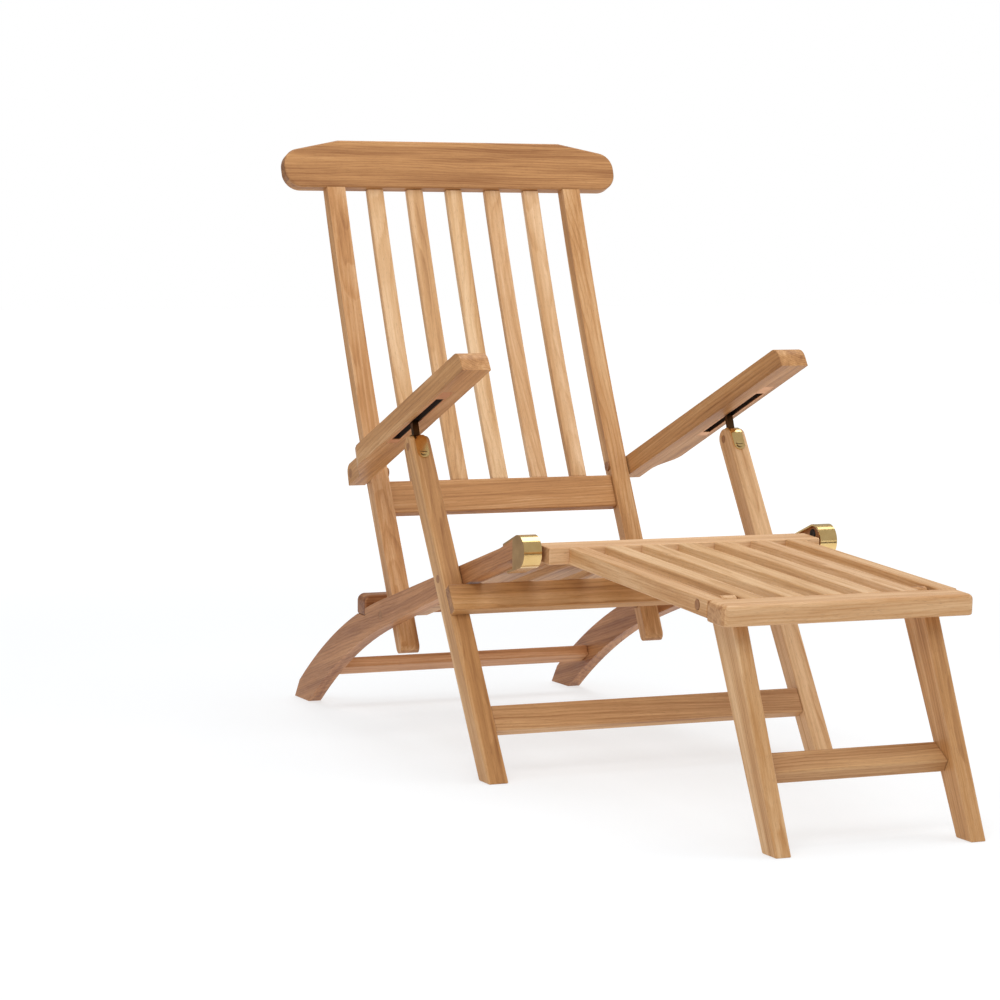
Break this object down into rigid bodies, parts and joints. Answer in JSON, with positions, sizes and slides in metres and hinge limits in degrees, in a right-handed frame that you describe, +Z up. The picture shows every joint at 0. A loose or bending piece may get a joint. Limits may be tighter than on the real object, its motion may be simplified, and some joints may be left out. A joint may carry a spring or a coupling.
{
  "type": "folding sun lounger",
  "caption": "Folding slatted wooden sun lounger with a curved reclining back, sloping arms, a seat on long curved rails and a hinged leg rest on its own folding legs.",
  "frame": {"origin": "on the floor, at the middle of the overall width and of the overall length", "axes": "+X to the sitter's left, -Y forward towards the leg rest's feet, +Z up"},
  "size_m": [0.614, 1.604, 0.9665],
  "materials": {
    "teak": "smooth oiled teak, satin",
    "teak_light": "smooth oiled teak with paler sapwood, satin",
    "end_grain": "teak plug showing its grain across, satin",
    "brass": "polished",
    "steel": "dull"
  },
  "bodies": {
    "seat_frame": {"rail_left": "teak", "rail_right": "teak", "rear_stretcher": "teak", "rear_bar": "teak", "seat_front_rail": "teak", "seat_middle_rail": "teak", "seat_slat_1": "teak_light", "seat_slat_2": "teak_light", "seat_slat_3": "teak_light", "seat_slat_4": "teak_light", "seat_slat_5": "teak_light", "nose_cap_left": "brass", "nose_cap_right": "brass", "rail_plugs": "end_grain"},
    "front_leg_frame": {"front_leg_left": "teak", "front_leg_right": "teak", "front_crossbar": "teak", "front_stretcher": "teak_light", "arm_hook_left": "brass", "arm_hook_right": "brass", "hook_screws": "brass", "leg_bolt_left": "steel", "leg_bolt_right": "steel", "leg_plugs": "end_grain"},
    "back_frame": {"stile_left": "teak", "stile_right": "teak", "back_bolt_left": "steel", "back_bolt_right": "steel", "head_rail": "teak", "low_back_rail": "teak", "back_slat_1": "teak_light", "back_slat_2": "teak_light", "back_slat_3": "teak_light", "back_slat_4": "teak_light", "back_slat_5": "teak_light"},
    "left_arm": {"arm_left": "teak", "arm_track_left": "steel", "arm_plug_left": "end_grain", "arm_bolt_left": "steel"},
    "right_arm": {"arm_right": "teak", "arm_track_right": "steel", "arm_plug_right": "end_grain", "arm_bolt_right": "steel"},
    "leg_rest": {"rest_rear_rail": "teak", "rest_side_left": "teak", "rest_side_right": "teak", "rest_front_rail": "teak", "rest_slat_1": "teak_light", "rest_slat_2": "teak_light", "rest_slat_3": "teak_light", "rest_slat_4": "teak_light", "rest_slat_5": "teak_light", "hinge_pin_left": "steel", "hinge_pin_right": "steel", "rest_bolt_left": "steel", "rest_bolt_right": "steel"},
    "leg_rest_legs": {"rest_leg_left": "teak", "rest_leg_right": "teak", "rest_leg_stretcher": "teak_light"}
  },
  "joints": [
    {"name": "front_leg_fold", "type": "hinge", "parent": "seat_frame", "child": "front_leg_frame", "pos_m": [0, 0.04646, 0.283], "axis": [-1, 0, 0], "range_deg": [-85, 0]},
    {"name": "back_recline", "type": "hinge", "parent": "seat_frame", "child": "back_frame", "pos_m": [0, 0.38, 0.189], "axis": [-1, 0, 0], "range_deg": [0, 26]},
    {"name": "left_arm_turn", "type": "hinge", "parent": "back_frame", "child": "left_arm", "pos_m": [-0.25, 0.496, 0.412], "axis": [-1, 0, 0], "range_deg": [-20.4, 0]},
    {"name": "right_arm_turn", "type": "hinge", "parent": "back_frame", "child": "right_arm", "pos_m": [0.25, 0.496, 0.412], "axis": [-1, 0, 0], "range_deg": [-20.4, 0]},
    {"name": "leg_rest_fold", "type": "hinge", "parent": "seat_frame", "child": "leg_rest", "pos_m": [0, -0.184, 0.345], "axis": [-1, 0, 0], "range_deg": [0, 165]},
    {"name": "leg_rest_legs_fold", "type": "hinge", "parent": "leg_rest", "child": "leg_rest_legs", "pos_m": [0, -0.63399, 0.31396], "axis": [1, 0, 0], "range_deg": [0, 105]}
  ],
  "couplings": [
    {"joint": "left_arm_turn", "follows": "back_recline", "ratio": -0.78},
    {"joint": "right_arm_turn", "follows": "back_recline", "ratio": -0.78}
  ]
}
